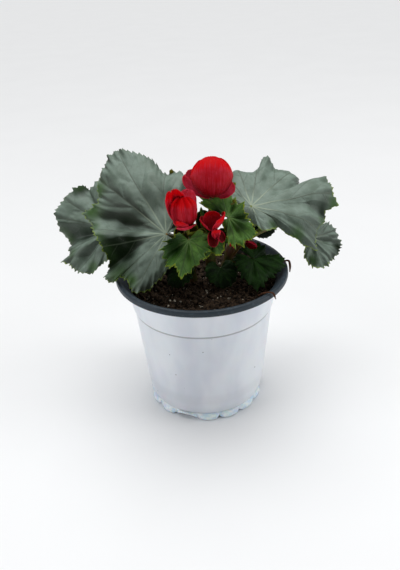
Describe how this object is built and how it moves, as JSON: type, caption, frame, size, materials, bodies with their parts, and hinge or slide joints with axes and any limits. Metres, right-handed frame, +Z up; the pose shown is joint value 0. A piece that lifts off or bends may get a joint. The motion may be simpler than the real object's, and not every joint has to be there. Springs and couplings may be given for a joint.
{
  "type": "potted plant",
  "caption": "Potted begonia: toothed grey-green leaves, green young leaves and cupped red blooms on short succulent stems, in peat soil in a round tapered nursery pot.",
  "frame": {"origin": "centre of the pot's foot, on the surface that the pot stands on", "axes": "+Z up along the pot's axis, -Y towards the plant's front, +X to the right as seen from the front"},
  "size_m": [0.2284, 0.1303, 0.1993],
  "materials": {
    "pot_plastic": "satin thermoformed plastic, nearly white, with a slate-grey rim",
    "peat_soil": "loose dark peat with white perlite grains",
    "stem": "smooth succulent stem, green flushed red-brown",
    "grey_leaf": "satin leaf with a grey bloom and pale veins",
    "green_leaf": "satin young leaf with a yellow-green margin",
    "dark_leaf": "satin shaded leaf",
    "petal": "soft satin petal with fine streaks and pink rims",
    "dry_debris": "dry, brown and papery"
  },
  "bodies": {
    "root": {"pot": "pot_plastic", "soil": "peat_soil", "stem_left": "stem", "stem_centre": "stem", "stem_right": "stem", "leaf_left_front": "grey_leaf", "leaf_left_back": "grey_leaf", "leaf_right_front": "grey_leaf", "leaf_right_back": "grey_leaf", "leaf_right_small": "dark_leaf", "leaf_centre": "green_leaf", "leaf_low_front": "green_leaf", "leaf_small_front": "green_leaf", "leaf_right_low": "dark_leaf", "leaf_shade_left": "dark_leaf", "leaf_shade_right": "dark_leaf", "flower_top": "petal", "flower_left": "petal", "flower_right": "petal", "flower_bud_low": "petal", "dry_stalk": "dry_debris", "dry_sliver": "dry_debris"}
  },
  "joints": []
}
